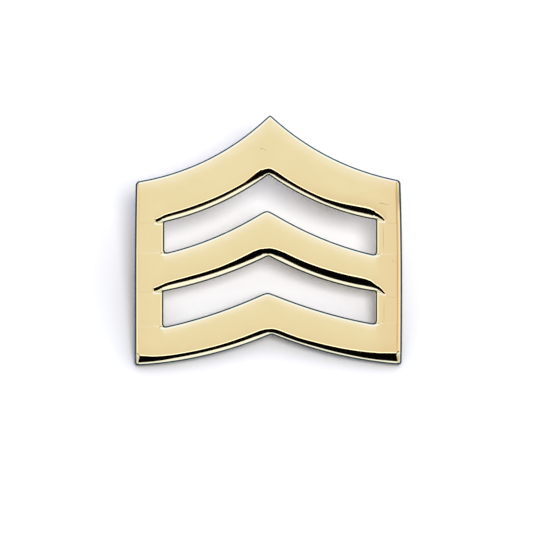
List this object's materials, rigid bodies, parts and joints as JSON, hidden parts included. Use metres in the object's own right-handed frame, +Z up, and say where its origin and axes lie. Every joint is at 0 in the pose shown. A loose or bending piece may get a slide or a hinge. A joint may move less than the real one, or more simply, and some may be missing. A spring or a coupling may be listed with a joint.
{
  "type": "rank chevron pin",
  "caption": "Collar insignia of stacked pointed chevrons joined by side rails, struck in polished gold-coloured metal, with pointed pin-back posts.",
  "frame": {"origin": "on the surface the badge rests on, under the middle of its bounding box", "axes": "+X across the badge, to the right as its face is seen, +Y away from the viewer up the leaning badge, +Z up. The face looks up and towards -Y, leaning back about 25 degrees from level."},
  "size_m": [0.0254, 0.022, 0.0116],
  "materials": {
    "gold_plate": "mirror-polished pale gold plating on struck brass",
    "post_metal": "plain bright gold plating, not polished"
  },
  "bodies": {
    "root": {"chevron_plate": "gold_plate", "post_left": "post_metal", "post_right": "post_metal"}
  },
  "joints": []
}
